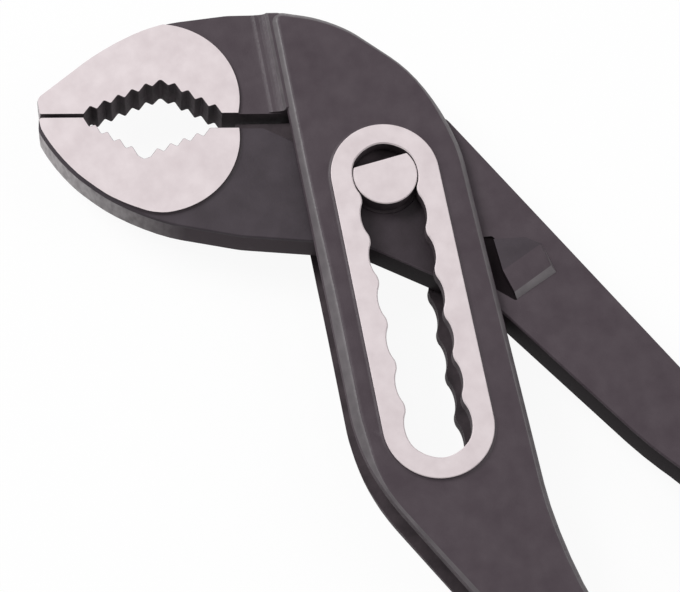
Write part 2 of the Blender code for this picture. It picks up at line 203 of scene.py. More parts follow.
def shrink(bm: bmesh.types.BMesh, inward: float) -> bmesh.types.BMesh:
    """Moves the edge of the drawn face inwards.

    Args:
        bm: The bmesh with the one drawn face, which is changed.
        inward: How far the edge moves.

    Returns:
        The same bmesh.
    """
    rim = bmesh.ops.inset_region(
        bm, faces=bm.faces[:], thickness=inward, use_boundary=True, use_even_offset=True
    )
    bmesh.ops.delete(bm, geom=rim["faces"], context="FACES")
    return bm


def divide(bm: bmesh.types.BMesh, length: float) -> bmesh.types.BMesh:
    """Divides the long edges of the drawn face.

    Args:
        bm: The bmesh with the one drawn face, which is changed.
        length: The longest that an edge stays.

    Returns:
        The same bmesh.
    """
    for edge in bm.edges[:]:
        cuts = int(edge.calc_length() / length)
        if cuts > 0:
            bmesh.ops.subdivide_edges(bm, edges=[edge], cuts=cuts)
    return bm


def raise_rim(
    bm: bmesh.types.BMesh,
    steps: list[Step],
    top: Finish,
    fullness: Callable[[Vector], float] | None = None,
) -> bmesh.types.BMesh:
    """Raises the drawn face through the steps of its rim, and mirrors it below the middle plane.

    Args:
        bm: The bmesh with the one drawn face, which is changed.
        steps: The rim from the middle plane up to the face.
        top: The finish of the raised face.
        fullness: How much of the rim there is at a place, from 0 for a sharp edge to 1.

    Returns:
        The same bmesh, now a closed solid.
    """
    bm.faces.ensure_lookup_table()
    face = bm.faces[0]
    fill = bm.verts.layers.float.new("fullness")
    for vert in bm.verts:
        vert[fill] = fullness(vert.co) if fullness else 1.0
    spare = sum(step.rise for step in steps)
    for step in steps:
        rim = bmesh.ops.inset_region(
            bm, faces=[face], thickness=step.inward, use_boundary=True, use_even_offset=True
        )
        for side in rim["faces"]:
            side.material_index = step.finish
        ring = set(face.verts)
        for vert in face.verts:
            feet = [edge.other_vert(vert) for edge in vert.link_edges]
            foot = next(far for far in feet if far not in ring)
            share = vert[fill]
            place = foot.co.lerp(vert.co, share)
            place.z = foot.co.z + step.rise * share + spare * (1.0 - share)
            vert.co = place
        spare = 0.0
    face.material_index = top
    mirror_solid(bm)
    return bm


def turn_outwards(bm: bmesh.types.BMesh) -> None:
    """Turns all faces of a closed solid outwards.

    Args:
        bm: The bmesh with the solid, which is changed.
    """
    bmesh.ops.recalc_face_normals(bm, faces=bm.faces)
    if bm.calc_volume(signed=True) < 0.0:
        bmesh.ops.reverse_faces(bm, faces=bm.faces)


def mirror_solid(bm: bmesh.types.BMesh) -> None:
    """Adds the mirror image below the middle plane.

    Args:
        bm: The bmesh with the upper half, which is changed.
    """
    geometry = bm.verts[:] + bm.edges[:] + bm.faces[:]
    bmesh.ops.mirror(bm, geom=geometry, matrix=Matrix.Identity(4), merge_dist=WELD, axis="Z")
    turn_outwards(bm)


def extrude_up(bm: bmesh.types.BMesh, rise: float) -> bmesh.types.BMesh:
    """Makes the drawn face a closed prism of a height.

    Args:
        bm: The bmesh with the one drawn face, which is changed.
        rise: The height of the prism.

    Returns:
        The same bmesh.
    """
    made = bmesh.ops.extrude_face_region(bm, geom=bm.faces[:], use_keep_orig=True)
    lifted = [item for item in made["geom"] if isinstance(item, bmesh.types.BMVert)]
    bmesh.ops.translate(bm, verts=lifted, vec=(0.0, 0.0, rise))
    turn_outwards(bm)
    return bm


class Blank:
    """A working solid in millimetres that other blanks are joined to or cut from."""

    def __init__(self, name: str, bm: bmesh.types.BMesh) -> None:
        """Takes over a bmesh.

        Args:
            name: The name of the working object.
            bm: A closed solid, which is freed.
        """
        mesh = bpy.data.meshes.new(name)
        bm.to_mesh(mesh)
        bm.free()
        for steel in STEELS:
            mesh.materials.append(steel)
        self.obj = bpy.data.objects.new(name, mesh)
        bpy.context.scene.collection.objects.link(self.obj)

    def combine(self, operation: Operation, *others: "Blank") -> None:
        """Works other blanks into this one and throws them away.

        Args:
            operation: Join or cut.
            others: The blanks that are used up.
        """
        for other in others:
            step = self.obj.modifiers.new(other.obj.name, "BOOLEAN")
            step.operation = operation.value
            step.solver = "EXACT"
            step.object = other.obj
        bpy.context.view_layer.update()
        seen = self.obj.evaluated_get(bpy.context.evaluated_depsgraph_get())
        mesh = bpy.data.meshes.new_from_object(seen)
        self.obj.modifiers.clear()
        self.obj.data = mesh
        for other in others:
            bpy.data.objects.remove(other.obj, do_unlink=True)


def both_faces(
    name: str,
    bm: bmesh.types.BMesh,
    level: float,
    flat: Finish,
    steep: Finish,
    slope: float = LEVEL_NORMAL,
) -> Blank:
    """Makes a cutter that works on both faces of a leg.

    Args:
        name: The name of the working object.
        bm: The cutter as it stands on the middle plane, which is freed.
        level: How far it is lifted from there.
        flat: The finish that its level faces leave.
        steep: The finish that its other faces leave.
        slope: The least upright part of a level face's normal.

    Returns:
        The cutter above and below the leg.
    """
    bmesh.ops.translate(bm, verts=bm.verts, vec=(0.0, 0.0, level))
    for face in bm.faces:
        face.material_index = steep if abs(face.normal.z) < slope else flat
    mirror_solid(bm)
    return Blank(name, bm)


def broach(name: str, outline: list[Corner], top: float, edge: float, brim: Finish) -> Blank:
    """Makes a cutter through a leg that breaks the edges of its opening.

    Args:
        name: The name of the working object.
        outline: The opening's corners.
        top: The height of the leg's face above the middle plane.
        edge: How broad the broken edge is.
        brim: The finish of the broken edge.

    Returns:
        The cutter.
    """
    # The opening's walls are painted black as shade.
    steps = [Step(SHEER, top - edge, Finish.BLACK), Step(-edge, edge, brim), Step(-edge, edge, brim)]
    return Blank(name, raise_rim(draw_outline(outline), steps, Finish.BLACK))


def publish(
    piece: bpy.types.Object, middle: float, body: str, node: str
) -> bpy.types.Object:
    """Moves a finished piece into the frame and hands it to its body.

    Args:
        piece: The piece, drawn in millimetres about the middle plane.
        middle: The height of the middle plane, in metres.
        body: The body that the piece rides on.
        node: The solid that the piece stands for.

    Returns:
        The same piece.
    """
    shaped = bmesh.new()
    shaped.from_mesh(piece.data)
    bmesh.ops.remove_doubles(shaped, verts=shaped.verts, dist=WELD)
    bmesh.ops.dissolve_degenerate(shaped, edges=shaped.edges, dist=WELD)
    bmesh.ops.scale(shaped, vec=(MM, MM, MM), verts=shaped.verts)
    bmesh.ops.translate(shaped, vec=(0.0, 0.0, middle), verts=shaped.verts)
    shaped.to_mesh(piece.data)
    shaped.free()
    piece.data.shade_smooth()
    piece.data.set_sharp_from_angle(angle=math.radians(SMOOTH_DEG))
    flats = piece.modifiers.new("flats", "WEIGHTED_NORMAL")
    flats.mode = "FACE_AREA"
    flats.keep_sharp = True
    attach(piece, body)
    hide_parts(node)
    LOG.info("%s rides on %s and stands for %s", piece.name, body, node)
    return piece


# Finishes


@dataclass
class NodeBench:
    """A new material, and the making and joining of its nodes."""

    name: str
    material: bpy.types.Material = field(init=False)
    shader: bpy.types.ShaderNode = field(init=False)
    place: bpy.types.ShaderNode = field(init=False)

    def __post_init__(self) -> None:
        """Makes the material with its shader and its Object coordinates."""
        self.material = bpy.data.materials.new(self.name)
        self.material.use_nodes = True
        self.shader = self.material.node_tree.nodes["Principled BSDF"]
        self.place = self.add("ShaderNodeTexCoord")

    def add(self, kind: str, **values: object) -> bpy.types.ShaderNode:
        """Adds a node and sets its properties.

        Args:
            kind: The node's type.
            values: Properties of the node.

        Returns:
            The new node.
        """
        node = self.material.node_tree.nodes.new(kind)
        for name, value in values.items():
            setattr(node, name, value)
        return node

    def join(self, source: bpy.types.NodeSocket, target: bpy.types.NodeSocket) -> None:
        """Links an output to an input."""
        self.material.node_tree.links.new(source, target)

    def noise(
        self, scale: float, detail: float, stretch: tuple[float, float, float] = EVEN
    ) -> bpy.types.NodeSocket:
        """A noise on Object coordinates.

        Args:
            scale: Cells of the noise to a metre.
            detail: Octaves of the noise.
            stretch: How much closer the cells lie along each axis.

        Returns:
            The noise's output from 0 to 1.
        """
        mapping = self.add("ShaderNodeMapping")
        mapping.inputs["Scale"].default_value = stretch
        self.join(self.place.outputs["Object"], mapping.inputs["Vector"])
        texture = self.add("ShaderNodeTexNoise")
        texture.inputs["Scale"].default_value = scale
        texture.inputs["Detail"].default_value = detail
        self.join(mapping.outputs["Vector"], texture.inputs["Vector"])
        return texture.outputs["Fac"]

    def span(
        self, source: bpy.types.NodeSocket, low: float, high: float, to_low: float, to_high: float
    ) -> bpy.types.NodeSocket:
        """Maps one range of a value to another, held at both ends.

        Args:
            source: The value.
            low: The start of its range.
            high: The end of its range.
            to_low: What the start becomes.
            to_high: What the end becomes.

        Returns:
            The mapped value.
        """
        node = self.add("ShaderNodeMapRange")
        limits = {"From Min": low, "From Max": high, "To Min": to_low, "To Max": to_high}
        for name, value in limits.items():
            node.inputs[name].default_value = value
        self.join(source, node.inputs["Value"])
        return node.outputs["Result"]

    def blend(
        self, share: bpy.types.NodeSocket, first: Colour, second: Colour
    ) -> bpy.types.NodeSocket:
        """Mixes two colours.

        Args:
            share: How much of the second colour shows.
            first: The colour at 0.
            second: The colour at 1.

        Returns:
            The mixed colour.
        """
        node = self.add("ShaderNodeMix", data_type="RGBA")
        node.inputs[6].default_value = (*first, 1.0)
        node.inputs[7].default_value = (*second, 1.0)
        self.join(share, node.inputs[0])
        return node.outputs[2]

    def bump(self, height: bpy.types.NodeSocket, depth: float, strength: float) -> None:
        """Raises the surface.

        Args:
            height: The height from 0 to 1.
            depth: What a height of 1 raises, in metres.
            strength: The share of it that shows.
        """
        node = self.add("ShaderNodeBump")
        node.inputs["Distance"].default_value = depth
        node.inputs["Strength"].default_value = strength
        self.join(height, node.inputs["Height"])
        self.join(node.outputs["Normal"], self.shader.inputs["Normal"])


@dataclass(frozen=True)
class MottledFinish:
    """Two tones that are mottled into each other, with their gloss and a fine grain."""

    name: str
    dark: Colour
    light: Colour
    roughness: tuple[float, float] = (0.46, 0.6)
    specular: float = 0.5
    metallic: float = 0.0
    mottle: float = 260.0
    mottle_detail: float = CLOUD_DETAIL
    grain: float = 2600.0
    grain_detail: float = GRAIN_DETAIL
    grain_stretch: tuple[float, float, float] = EVEN
    grain_depth: float = 0.00006
    grain_strength: float = GRAIN_STRENGTH

    def material(self) -> bpy.types.Material:
        """Builds the material.

        Returns:
            The new material.
        """
        bench = NodeBench(self.name)
        cloud = bench.span(bench.noise(self.mottle, self.mottle_detail), *NOISE_SPAN, 0.0, 1.0)
        bench.join(bench.blend(cloud, self.dark, self.light), bench.shader.inputs["Base Color"])
        grain = bench.noise(self.grain, self.grain_detail, self.grain_stretch)
        bench.join(bench.span(grain, *NOISE_SPAN, *self.roughness), bench.shader.inputs["Roughness"])
        bench.shader.inputs["Metallic"].default_value = self.metallic
        bench.shader.inputs["Specular IOR Level"].default_value = self.specular
        bench.bump(grain, self.grain_depth, self.grain_strength)
        return bench.material


@dataclass(frozen=True)
class FlankFinish:
    """The flank of a leg: ground near the jaw's tip, dull along the jaw, black from the joint on as
    painted shade.
    """

    name: str
    black: Colour
    dull: Colour
    bright: Colour
    ground_from: tuple[float, float]
    black_from: tuple[float, float]
    specular: float
    roughness: float
    grain: float
    grain_depth: float
    grain_stretch: tuple[float, float, float] = (1.0, 1.0, 0.3)
    patch: float = 900.0
    patch_stretch: tuple[float, float, float] = (1.0, 1.0, 0.4)
    patch_span: tuple[float, float] = (0.3, 0.62)
    least_ground: float = 0.55

    def material(self) -> bpy.types.Material:
        """Builds the material, which fades along the leg.

        Returns:
            The new material.
        """
        bench = NodeBench(self.name)
        parts = bench.add("ShaderNodeSeparateXYZ")
        bench.join(bench.place.outputs["Object"], parts.inputs["Vector"])
        along = parts.outputs["Y"]
        cloud = bench.noise(self.patch, CLOUD_DETAIL, self.patch_stretch)
        patches = bench.span(cloud, *self.patch_span, self.least_ground, 1.0)
        ground = bench.add("ShaderNodeMath", operation="MULTIPLY", use_clamp=True)
        bench.join(bench.span(along, *self.ground_from, 0.0, 1.0), ground.inputs[0])
        bench.join(patches, ground.inputs[1])
        # Black towards the joint is painted shade on the walls.
        tone = bench.blend(bench.span(along, *self.black_from, 0.0, 1.0), self.dull, self.black)
        colour = bench.blend(ground.outputs["Value"], self.dull, self.bright)
        bench.join(tone, colour.node.inputs[6])
        bench.join(colour, bench.shader.inputs["Base Color"])
        bench.shader.inputs["Roughness"].default_value = self.roughness
        bench.shader.inputs["Specular IOR Level"].default_value = self.specular
        grain = bench.noise(self.grain, GRAIN_DETAIL, self.grain_stretch)
        bench.bump(grain, self.grain_depth, GRAIN_STRENGTH)
        return bench.material


FORGED_STEEL = MottledFinish(
    name="blackened_forging", dark=(0.044, 0.031, 0.039), light=(0.062, 0.047, 0.056), specular=0.3
)
# Lighter tone for rims and slopes: partly edge wear, partly painted highlight where they face the
# lamps.
WEAR_AND_HIGHLIGHT_STEEL = MottledFinish(
    name="worn_edge_and_painted_highlight",
    dark=(0.070, 0.060, 0.066),
    light=(0.105, 0.092, 0.099),
    roughness=(0.4, 0.55),
    mottle=420.0,
    grain_depth=0.00005,
)
GROUND_STEEL = MottledFinish(
    name="ground_steel",
    dark=(0.625, 0.548, 0.563),
    light=(0.705, 0.628, 0.643),
    roughness=(0.42, 0.56),
    metallic=0.1,
    mottle=330.0,
    grain=900.0,
    grain_stretch=(1.0, 7.0, 7.0),
    grain_depth=0.00002,
)
# Near-black tone for walls, openings, the pin's sides and the throat web: painted shade.
PAINTED_SHADE_BLACK_STEEL = MottledFinish(
    name="painted_shade_black",
    dark=(0.043, 0.035, 0.039),
    light=(0.076, 0.061, 0.068),
    roughness=(0.55, 0.7),
    specular=0.08,
    mottle=300.0,
    grain=2200.0,
    grain_depth=0.00008,
)
# A darker copy of the forging: painted shade on the leg's face between the cheeks and on the pads'
# fillets.
PAINTED_SHADE_STEEL = MottledFinish(
    name="painted_shade_forging",
    dark=(0.022, 0.015, 0.019),
    light=(0.034, 0.025, 0.031),
    roughness=(0.42, 0.56),
    specular=0.25,
)
# A darker copy of the forging: painted shade on the sliding leg's jaw and on the stop's uphill faces.
SHADED_STEEL = MottledFinish(
    name="darker_forging", dark=(0.031, 0.023, 0.029), light=(0.045, 0.035, 0.043), specular=0.3
)
SLEEVE_VINYL = MottledFinish(
    name="sleeve_vinyl",
    dark=(0.014, 0.052, 0.185),
    light=(0.020, 0.068, 0.225),
    roughness=(0.34, 0.46),
    mottle=60.0,
    mottle_detail=3.0,
    grain=700.0,
    grain_detail=4.0,
    grain_strength=0.6,
)
# The flank's black is painted shade.
JAW_FLANK = FlankFinish(
    name="ground_flank",
    black=(0.016, 0.012, 0.014),
    dull=(0.062, 0.049, 0.056),
    bright=(0.44, 0.415, 0.422),
    ground_from=(-0.036, -0.052),
    black_from=(-0.012, -0.004),
    specular=0.03,
    roughness=0.55,
    grain=2400.0,
    grain_depth=0.00005,
)
STEEL_FINISHES = {
    Finish.FORGED: FORGED_STEEL,
    Finish.WEAR_AND_HIGHLIGHT: WEAR_AND_HIGHLIGHT_STEEL,
    Finish.GROUND: GROUND_STEEL,
    Finish.FLANK: JAW_FLANK,
    Finish.BLACK: PAINTED_SHADE_BLACK_STEEL,
    Finish.PAINTED_SHADE: PAINTED_SHADE_STEEL,
    Finish.SHADED: SHADED_STEEL,
}
STEELS: list[bpy.types.Material] = []
VINYL: list[bpy.types.Material] = []


# Shared forms of the joint


@dataclass(frozen=True)
class Joint:
    """Sizes of the box joint that both legs and the pin are drawn from."""

    travel: float
    swing: float
    middle: float
    pitch: float = 7.8
    pocket_radius: float = 5.9
    cusp_radius: float = 2.6
    cheek_half_width: float = 14.3
    cheek_half: float = 6.15
    gap_half: float = 4.05
    leg_half: float = 3.5
    filed_half: float = 3.47
    ground_half: float = 3.95
    barrel_radius: float = 6.2
    crown: float = 36.3
    edge_deg: float = 30.7
    edge_offset: float = 16.4
    notch_edge: float = 0.06

    @classmethod
    def from_frame(cls, frame: dict) -> "Joint":
        """Reads the joint's travel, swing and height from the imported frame.


        Returns:
            The joint's sizes in millimetres.
        """
        joints = {joint["name"]: joint for joint in frame["joints"]}
        slide = joints["jaw_adjust"]
        hinge = joints["jaw_pivot"]
        return cls(
            travel=slide["range_m"][1] / MM,
            swing=hinge["range_deg"][1],
            middle=hinge["pos_m"][2] / MM,
        )

    @property
    def positions(self) -> int:
        """How many pockets the slot has."""
        return round(self.travel / self.pitch) + 1

    def stadium(self, radius: float) -> list[Corner]:
        """The corners of a round-ended outline about the slot."""
        return rounded_box((-radius, -radius), (self.travel + radius, radius), radius)

    def notch(self, outline: list[Corner]) -> Blank:
        """The cutter of a jaw's toothed V."""
        return broach("notch", outline, self.ground_half, self.notch_edge, Finish.BLACK)

    def slot(self) -> list[Corner]:
        """Draws the scalloped slot as corners on the tangents of its pockets and cusps.

        Returns:
            The outline's corners, against the clock from the first pocket's end.
        """
        reach = self.pocket_radius + self.cusp_radius
        lean = math.degrees(math.acos(self.pitch / 2 / reach))
        tangent = math.cos(math.radians(90.0 - lean))
        cusp_y = math.sqrt(reach**2 - (self.pitch / 2) ** 2) - self.cusp_radius / tangent
        pocket_y = self.pocket_radius / tangent
        end_turn = (360.0 - 2.0 * lean) / 4.0
        end_reach = self.pocket_radius / math.cos(math.radians(end_turn / 2))
        first_end = [polar(end_reach, lean + end_turn * (k + 0.5)) for k in range(4)]
        corners = [at(place, self.pocket_radius) for place in first_end]
        last = self.positions - 1
        low_side = []
        for i in range(last):
            low_side.append(Corner((i + 0.5) * self.pitch, -cusp_y, self.cusp_radius))
            if i < last - 1:
                low_side.append(Corner((i + 1) * self.pitch, -pocket_y, self.pocket_radius))
        corners += low_side
        corners += [at(Vector((self.travel, 0.0)) - place, self.pocket_radius) for place in first_end]
        corners += [Corner(corner.x, -corner.y, corner.radius) for corner in reversed(low_side)]
        return corners


@dataclass(frozen=True)
class JawFaces:
    """The two jaw faces, measured along them from the tip and into each jaw."""

    reach: float = 58.1
    drop: float = 22.05
    length: float = 43.8
    tilt: float = 8.6
    gap: float = 0.5
    tip_flat: float = 7.8
    tooth_depth: float = 1.15
    tooth_rounding: float = 0.3
    upper_start: tuple[float, float] = (20.1, 5.4)
    upper_apex: tuple[float, float] = (21.5, 6.9)
    upper_end: tuple[float, float] = (22.9, 5.6)
    upper_land: float = 32.4
    upper_teeth: tuple[int, int] = (5, 4)
    lower_apex: tuple[float, float] = (18.5, 7.0)
    lower_land: tuple[float, float] = (30.2, 2.2)
    lower_teeth: tuple[int, int] = (5, 5)
    clear: float = 6.0

    def upper(self, along: float, into: float) -> Vector:
        """A point of the upper jaw.

        Args:
            along: The distance from the tip along the face.
            into: The distance from the face into the jaw.

        Returns:
            The point as a flat vector.
        """
        tilt = math.radians(self.tilt)
        run = Vector((math.sin(tilt), math.cos(tilt)))
        rise = Vector((-math.cos(tilt), math.sin(tilt)))
        return Vector((-self.drop, -self.reach)) + run * along + rise * into

    def lower(self, along: float, into: float) -> Vector:
        """A point of the lower jaw from its tip along its face and into it."""
        return self.upper(along, -self.gap - into)

    def teeth(self, start: Vector, end: Vector, count: int, into: Vector) -> list[Corner]:
        """Draws a run of rounded teeth.

        Args:
            start: The first tooth's tip.
            end: Where the run ends, which isn't drawn.
            count: How many teeth there are.
            into: The direction of the roots.

        Returns:
            Tips and roots in order.
        """
        corners = []
        for i in range(count):
            tip = start.lerp(end, i / count)
            root = start.lerp(end, (i + 0.5) / count) + into * self.tooth_depth
            corners += [at(tip, self.tooth_rounding), at(root, self.tooth_rounding)]
        return corners

    def upper_notch(self) -> list[Corner]:
        """Draws what is cut out of the upper jaw.

        Returns:
            The toothed V, closed below the face.
        """
        into = self.upper(0.0, 1.0) - self.upper(0.0, 0.0)
        outer = self.upper(*self.upper_start)
        inner = self.upper(*self.upper_end)
        land = self.upper(self.upper_land, 0.0)
        corners = self.teeth(self.upper(self.tip_flat, 0.0), outer, self.upper_teeth[0], into)
        corners.append(at(outer, self.tooth_rounding))
        corners.append(at(self.upper(*self.upper_apex), 2 * self.tooth_rounding))
        corners += self.teeth(inner, land, self.upper_teeth[1], into)
        closing = [self.upper(along, -self.clear) for along in (self.upper_land, self.tip_flat)]
        return corners + [at(place) for place in (land, *closing)]

    def lower_notch(self) -> list[Corner]:
        """Draws what is cut out of the lower jaw.

        Returns:
            The toothed V and the low land behind it, closed above the face.
        """
        into = self.lower(0.0, 1.0) - self.lower(0.0, 0.0)
        apex = self.lower(*self.lower_apex)
        land = self.lower(*self.lower_land)
        corners = self.teeth(self.lower(self.tip_flat, 0.0), apex, self.lower_teeth[0], into)
        corners.append(at(apex + into * self.tooth_depth, self.tooth_rounding))
        corners += self.teeth(apex, land, self.lower_teeth[1], into)[1:]
        corners += [at(land, self.tooth_rounding), at(self.lower(self.length, self.lower_land[1]))]
        closing = [self.lower(along, -self.clear) for along in (self.length, self.tip_flat)]
        return corners + [at(place) for place in closing]


@dataclass(frozen=True)
class Handle:
    """A handle on a centre line from its bend over its bow to its end."""

    bend: Vector
    shank: float
    shank_deg: float
    tail_deg: float
    half_width: float = 5.6
    bend_radius: float = 40.0
    bow_radius: float = 160.0
    grip_length: float = 95.0
    grip_bow: float = 48.0
    nose_share: float = 0.9

    @property
    def bow(self) -> Vector:
        """Where the two straight runs of the centre line meet."""
        return self.bend + polar(self.shank + self.grip_length - self.grip_bow, self.shank_deg)

    @property
    def end(self) -> Vector:
        """The end of the centre line."""
        return self.bow + polar(self.grip_bow, self.tail_deg)

    def side(self, spread: float) -> list[Vector]:
        """The centre line moved sideways.

        Args:
            spread: How far it is moved, positive to its left.

        Returns:
            Its bend, its bow and its end.
        """
        first = polar(1.0, self.shank_deg + 90.0)
        second = polar(1.0, self.tail_deg + 90.0)
        between = (first + second).normalized()
        stretch = spread / between.dot(first)
        return [self.bend + first * spread, self.bow + between * stretch, self.end + second * spread]

    def corners(self) -> list[Corner]:
        """Draws the handle's part of a leg's outline.

        Returns:
            Corners up its left side, round its end and back down its right side.
        """
        left = self.side(self.half_width)
        right = self.side(-self.half_width)
        nose = self.half_width * self.nose_share
        radii = (self.bend_radius, self.bow_radius, nose)
        up = [at(place, radius) for place, radius in zip(left, radii)]
        down = [at(place, radius) for place, radius in zip(right, radii)]
        return up + down[::-1]

    def station(self, along: float) -> tuple[Vector, float]:
        """Walks the bowed centre line of the grip.

        Args:
            along: The distance from the sleeve's mouth.

        Returns:
            The point and the heading in degrees.
        """
        turn = math.radians(self.shank_deg - self.tail_deg)
        reach = self.bow_radius * math.tan(turn / 2)
        bow_at = self.grip_length - self.grip_bow
        first = bow_at - reach
        arc = self.bow_radius * turn
        mouth = self.bow - polar(bow_at, self.shank_deg)
        if along <= first:
            return mouth + polar(along, self.shank_deg), self.shank_deg
        start = mouth + polar(first, self.shank_deg)
        if along <= first + arc:
            angle = math.degrees((along - first) / self.bow_radius)
            chord = 2.0 * self.bow_radius * math.sin(math.radians(angle) / 2)
            return start + polar(chord, self.shank_deg - angle / 2), self.shank_deg - angle
        chord = 2.0 * self.bow_radius * math.sin(turn / 2)
        far = start + polar(chord, (self.shank_deg + self.tail_deg) / 2)
        return far + polar(along - first - arc, self.tail_deg), self.tail_deg


def jaw_file(centre: Vector, radius: float, level: float, fillet: float, foot: list[Corner]) -> Blank:
    """Makes the cutter that lowers both faces of a leg, apart from the jaw's round-ended ground pad.

    Args:
        centre: The centre of the pad's round end.
        radius: The radius of the round end.
        level: The height of the lowered face above the middle plane.
        fillet: The radius at the foot of the pad's wall.
        foot: Where the pad's edge goes from its round end on the handle's side.

    Returns:
        The cutter above and below the leg.
    """
    outline = [
        Corner(-2 * FAR, -2 * FAR),
        Corner(centre.x - radius, -2 * FAR),
        Corner(centre.x - radius, centre.y + radius, radius),
        Corner(centre.x + radius, centre.y + radius, radius),
        *foot,
        Corner(5 * FAR, foot[-1].y),
        Corner(5 * FAR, 4 * FAR),
        Corner(-2 * FAR, 4 * FAR),
    ]
    bm = extrude_up(draw_outline(outline), FAR)
    low = [edge for edge in bm.edges if max(vert.co.z for vert in edge.verts) < WELD]
    bmesh.ops.bevel(
        bm,
        geom=low,
        offset=fillet,
        segments=FILLET_SEGMENTS,
        profile=0.5,
        affect="EDGES",
        clamp_overlap=False,
        material=-1,
    )
    # The pad's wall and fillet take painted shade.
    return both_faces("jaw_file", bm, level, Finish.FORGED, Finish.PAINTED_SHADE)


# The forged legs


@dataclass
class SlottedLeg:
    """The leg with the upper jaw, the box joint with its scalloped slot, and a handle."""

    joint: Joint
    faces: JawFaces
    ground_centre: Vector = field(default_factory=lambda: Vector((-22.0, -37.0)))
    ground_radius: float = 14.7
    pad_fillet: float = 0.15
    boss_radius: float = 9.55
    boss_spread: float = 0.8
    slot_edge: float = 0.22
    window_floor: float = 86.0
    window_clear: float = 0.6
    neck_start: float = 88.0
    neck_length: float = 14.0
    neck_cuts: int = 9
    longest_edge: float = 6.0
    ramp_length: float = 3.6
    ramp_drop: float = 0.9
    ramp_inset: float = 0.25
    ramp_slope: float = 0.8
    ramp_root: float = 12.0
    brow_radius: float = 3.0

    @property
    def handle(self) -> Handle:
        """The handle of this leg."""
        return Handle(bend=Vector((104.5, 22.3)), shank=11.6, shank_deg=6.6, tail_deg=-1.2)

    def box_outline(self) -> list[Corner]:
        """Draws the cheeks and the handle.

        Returns:
            Shoulder, right edge, handle and the left edge back to the jaw.
        """
        crown = -self.joint.crown
        half = self.joint.cheek_half_width
        return [
            Corner(crown + 0.35, -half - 0.4, 2.4),
            Corner(crown + 4.25, -half + 11.2, 21.4),
            Corner(crown + 22.9, half + 0.25, 33.5),
            Corner(self.joint.travel + 24.0, half + 2.0, 70.0),
            *self.handle.corners(),
            Corner(self.joint.travel + 11.2, -half + 3.6, 40.0),
            Corner(self.joint.travel + 1.2, -half - 0.25, 30.0),
        ]

    def jaw_outline(self) -> list[Corner]:
        """Draws the upper jaw.

        Returns:
            The tip, over the brow, into the box and back along the face.
        """
        crown = -self.joint.crown
        half = self.joint.cheek_half_width
        tip = self.faces.upper(0.0, 0.0)
        root = self.faces.upper(self.faces.length + 2.0, 0.0)
        return [
            at(tip, 0.5),
            Corner(tip.x - 3.35, tip.y, 1.6),
            Corner(crown + 3.1, tip.y + 12.8, 40.0),
            Corner(crown - 0.42, tip.y + 23.1, 25.0),
            Corner(crown - 0.25, -half - 7.7, 8.0),
            Corner(crown + 0.65, -half - 0.7, 3.0),
            Corner(crown + 1.0, -half + 1.9, 2.0),
            Corner(crown + 4.5, -half + 6.0),
            Corner(root.x - 4.5, -half + 6.0),
            at(root),
        ]

    def chamfer_share(self, place: Vector) -> float:
        """How broad the cheeks' chamfer is: full on the left, less on the right, slight on the crown.

        Args:
            place: A point of the outline.

        Returns:
            The share of the full chamfer.
        """
        slight = 0.4 + 0.4 * smooth_step(-20.0, -6.0, place.x)
        leftward = smooth_step(10.0, -12.0, place.y)
        broad = 0.95 + 0.35 * smooth_step(-4.0, 26.0, place.x)
        broad -= 0.9 * smooth_step(45.0, 58.0, place.x)
        return slight + (broad - slight) * leftward

    def make_box(self) -> Blank:
        """Raises the cheeks with their broad chamfer and thins the handle behind them.

        Returns:
            The box with its handle, still solid.
        """
        half = self.joint.cheek_half
        rim = [
            # The sides are painted black as shade; the two broad chamfer steps carry edge wear and
            # painted highlight.
            Step(0.12, half - 1.75, Finish.BLACK),
            Step(0.2, 0.5),
            Step(0.75, 0.83, Finish.WEAR_AND_HIGHLIGHT),
            Step(0.36, 0.24, Finish.WEAR_AND_HIGHLIGHT),
            Step(0.5, 0.18),
        ]
        outline = divide(draw_outline(self.box_outline()), self.longest_edge)
        bm = raise_rim(outline, rim, Finish.FORGED, self.chamfer_share)
        for i in range(self.neck_cuts + 1):
            x = self.neck_start + self.neck_length * i / self.neck_cuts
            geometry = bm.verts[:] + bm.edges[:] + bm.faces[:]
            bmesh.ops.bisect_plane(bm, geom=geometry, dist=WELD, plane_co=(x, 0, 0), plane_no=(1, 0, 0))
        thin = 1.0 - self.joint.leg_half / half
        neck_end = self.neck_start + self.neck_length
        for vert in bm.verts:
            vert.co.z *= 1.0 - thin * smooth_step(self.neck_start, neck_end, vert.co.x)
        return Blank("slotted_leg_forging", bm)

    def make_boss(self) -> Blank:
        """Makes the raised ring round the slot with a fillet at its foot.

        Returns:
            The boss before the slot is cut.
        """
        half = self.joint.cheek_half
        steps = [
            Step(0.02, half - 0.05),
            Step(0.4, 0.12),
            Step(0.26, 0.16),
            Step(0.08, self.joint.middle - half - 0.33),
            Step(0.12, 0.1, Finish.GROUND),
        ]
        outline = self.joint.stadium(self.boss_radius + self.boss_spread)
        return Blank("boss", raise_rim(draw_outline(outline), steps, Finish.GROUND))

    def make_jaw(self) -> Blank:
        """Makes the upper jaw with its ground pad and the ramp that climbs to the cheeks.

        Returns:
            The jaw before its teeth are cut.
        """
        low = self.joint.leg_half
        rim = [
            Step(0.05, low - 0.2, Finish.FLANK),
            Step(0.1, 0.2, Finish.FLANK),
            Step(0.04, self.joint.ground_half - low, Finish.FLANK),
        ]
        bm = raise_rim(draw_outline(self.jaw_outline()), rim, Finish.GROUND)
